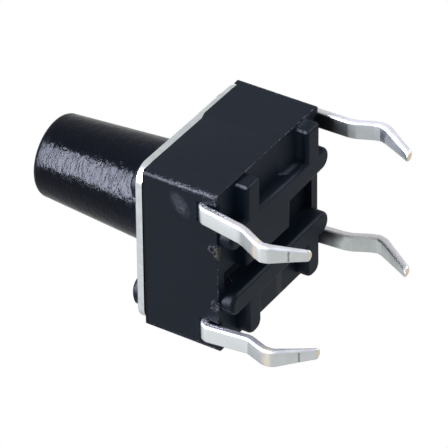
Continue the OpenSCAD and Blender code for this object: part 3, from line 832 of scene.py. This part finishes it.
def terminals():
    """Both terminals: a moulded-in core with a pin grown at each end."""
    tree, material = bent_strip_tree(), plated_strip()
    for kind, y, ease in (("common", PIN_Y, 0.12), ("centre", -PIN_Y, 0.05)):
        core = terminal_core(f"{kind}_terminal")
        pins = [solder_pin(f"{kind}_front", tree, material, y, ease, TIP_T),
                solder_pin(f"{kind}_back", tree, material, y, 0.14, BACK_TIP_T)]
        dress(joined(f"{kind}_strip", [core, *pins]), material, "body", "terminals", f"{kind}_terminal")


def moulding_flash():
    """What the mould left on the rim: ragged flash along two edges and crumbs about the gate marks."""
    material, threads, crumbs = torn_nylon(), flash_tree(), crumb_tree()
    half, rim = HALF / MM, RIM_Z / MM
    lines = {"near_rim": [(half, 1.2, rim), (half, -1.85, rim)],
             "top_rim": [(2.9, half, rim), (-2.9, half, rim)],
             "gate_thread": [(half, 0.92, rim), (half, 0.5, rim)],
             "fibre": [(2.44, -0.28, rim), (2.03, -0.94, rim)]}
    patches = {"upper_gate_wall": ((half, 1.18, rim), (half, 0.66, 0.62)),
               "upper_gate_rim": ((half, 1.1, rim), (2.84, 0.62, rim)),
               "lower_gate_wall": ((half, -1.08, rim), (half, -1.4, 0.58)),
               "lower_gate_rim": ((half, -1.08, rim), (2.86, -1.34, rim)),
               "near_corner": ((half, 2.96, rim), (half, 2.72, 0.54))}
    pieces = []
    for label, ends in lines.items():
        base = bpy.data.meshes.new(label)
        base.from_pydata([Vector(end) * MM for end in ends], [(0, 1)], [])
        pieces.append(grown(label, base, threads, material))
    for seed, (label, ((x0, y0, z0), (x1, y1, z1))) in enumerate(patches.items()):
        base = bpy.data.meshes.new(label)
        corners = [(x0, y0, z0), (x1, y0, z1), (x1, y1, z1), (x0, y1, z0)]
        base.from_pydata([Vector(corner) * MM for corner in corners], [], [(0, 1, 2, 3)])
        pieces.append(grown(label, base, crumbs, material, Seed=seed))
    piece = joined("moulding_flash", pieces)
    dress(piece, material, "body", "housing")


def click_dome(material):
    """The click dome as it stands in the CAD model, a piece of its own in steel."""
    piece = new_piece("click_dome", merged("snap_dome"))
    piece.data.materials.clear()
    piece.data.materials.append(material)
    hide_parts("snap_dome")
    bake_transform(piece)


nylon, steel = moulded_nylon(), stamped_steel()
dress(housing_shell(), nylon, "body", "housing", "housing")
dress(corner_post(), nylon, "body", "housing")
moulding_flash()
dress(cover_plate(), steel, "body", "cover", "cover")
dress(push_button(), polished_button(), "button", "button", "button")
terminals()
click_dome(steel)


# ---------------------------------------------------------------- studio

# The two bright sides of the tent; elsewhere it is greyer
BRIGHT_SIDES = ((0.69, -0.56, 0.46), (-0.69, 0.59, 0.43))
TENT_GREY, TENT_LIGHT = 0.78, 0.5

# Where the main lamp stands; it is two lamps, one for the shine and one for matt surfaces
LAMP_WAY, LAMP_SIZE, LAMP_REACH = (0.732, 0.389, 0.559), (0.17, 0.08), 0.2

# The camera's place in millimetres, its turn in degrees and its lens in millimetres
CAMERA_PLACE, CAMERA_TURN, LENS = (74.115, 63.141, -46.317), (145.6661, 57.4162, -178.3947), 273.21


def white_tent():
    """Even light all round; what shines in it sees white on two sides, and grey elsewhere."""
    world = bpy.data.worlds.new("white_tent")
    world.use_nodes = True
    tree = world.node_tree
    tree.nodes.clear()
    path = add(tree, "ShaderNodeLightPath").outputs
    way = add(tree, "ShaderNodeTexCoord").outputs["Generated"]
    sides = []
    for side, edge, full in zip(BRIGHT_SIDES, (0.78, 0.3), (0.97, 0.8)):
        facing = add(tree, VECTOR_MATH, operation="DOT_PRODUCT", Vector=[way, side]).outputs["Value"]
        sides.append(add(tree, MAP_RANGE, interpolation_type="SMOOTHSTEP", Value=facing, From_Min=edge,
                         From_Max=full, To_Min=TENT_GREY, To_Max=1.0))
    shine = add(tree, MATH, operation="MAXIMUM", Value=sides)
    gloss = add(tree, MATH, operation="MAXIMUM", Value=[path["Is Glossy Ray"], path["Is Transmission Ray"]])
    level = add(tree, MIX, Factor=gloss, A=TENT_LIGHT, B=shine)
    level = add(tree, MATH, operation="MAXIMUM", Value=[level, path["Is Camera Ray"]])
    light = add(tree, "ShaderNodeBackground", Color=(1, 1, 1, 1), Strength=level)
    add(tree, "ShaderNodeOutputWorld", Surface=light)
    bpy.context.scene.world = world


def softbox(name, direction, size, power, tint="#ffffff", glossy=True, diffuse=True):
    """A rectangular lamp a hand's width away, which faces the object."""
    data = bpy.data.lights.new(name, "AREA")
    data.shape = "RECTANGLE"
    data.size, data.size_y = size
    data.energy = power
    data.color = linear(tint)[:3]
    lamp = bpy.data.objects.new(name, data)
    bpy.context.scene.collection.objects.link(lamp)
    way = Vector(direction).normalized()
    lamp.location = way * LAMP_REACH
    lamp.rotation_euler = way.to_track_quat("Z", "Y").to_euler()
    lamp.visible_camera = False
    lamp.visible_glossy = glossy
    lamp.visible_diffuse = diffuse


def table_top():
    """A white table under the pins. It is seen from above only, and melts into the white around it."""
    material, tree = new_material("white_table")
    coords = add(tree, "ShaderNodeTexCoord").outputs["Object"]
    reach = add(tree, VECTOR_MATH, operation="LENGTH", Vector=coords).outputs["Value"]
    fade = add(tree, MAP_RANGE, interpolation_type="SMOOTHSTEP", Value=reach, From_Min=10 * MM,
               From_Max=60 * MM)
    matt = add(tree, "ShaderNodeBsdfDiffuse", Color=linear("#f4f4f4"))
    glow = add(tree, "ShaderNodeEmission", Color=(1, 1, 1, 1), Strength=1.0)
    top = add(tree, "ShaderNodeMixShader", Fac=fade, Shader=[matt, glow])
    clear = add(tree, "ShaderNodeBsdfTransparent")
    back = add(tree, "ShaderNodeNewGeometry").outputs["Backfacing"]
    both = add(tree, "ShaderNodeMixShader", Fac=back, Shader=[top, clear])
    add(tree, "ShaderNodeOutputMaterial", Surface=both)
    mesh = bpy.data.meshes.new("table_top")
    half = 400 * MM
    corners = [(-half, -half), (half, -half), (half, half), (-half, half)]
    mesh.from_pydata([(x, y, TABLE_Z) for x, y in corners], [], [(0, 1, 2, 3)])
    mesh.materials.append(material)
    table = bpy.data.objects.new("table_top", mesh)
    bpy.context.scene.collection.objects.link(table)
    table.visible_diffuse = table.visible_glossy = False
    table.visible_transmission = table.visible_shadow = False


def camera():
    """A long lens below the board's plane, looking up at the pins and the underside."""
    data = bpy.data.cameras.new("camera")
    data.lens, data.sensor_width = LENS, 36
    data.clip_start, data.clip_end = 0.01, 10
    made = bpy.data.objects.new("camera", data)
    made.location = Vector(CAMERA_PLACE) * MM
    made.rotation_euler = Euler([radians(a) for a in CAMERA_TURN])
    bpy.context.scene.collection.objects.link(made)
    bpy.context.scene.camera = made


white_tent()
# the lamp whose reflection runs along the button and the near edges
softbox("gloss_softbox", LAMP_WAY, LAMP_SIZE, 3.4, "#e4e9ff", diffuse=False)
softbox("side_softbox", LAMP_WAY, LAMP_SIZE, 0.14, glossy=False)
softbox("top_softbox", (-0.35, 0.85, 0.35), (0.15, 0.15), 0.12, glossy=False)
softbox("rim_softbox", (-0.69, 0.43, -0.59), (0.1, 0.1), 0.3, "#e6e6ff", diffuse=False)
table_top()
camera()

bpy.context.scene.view_settings.view_transform = "Standard"
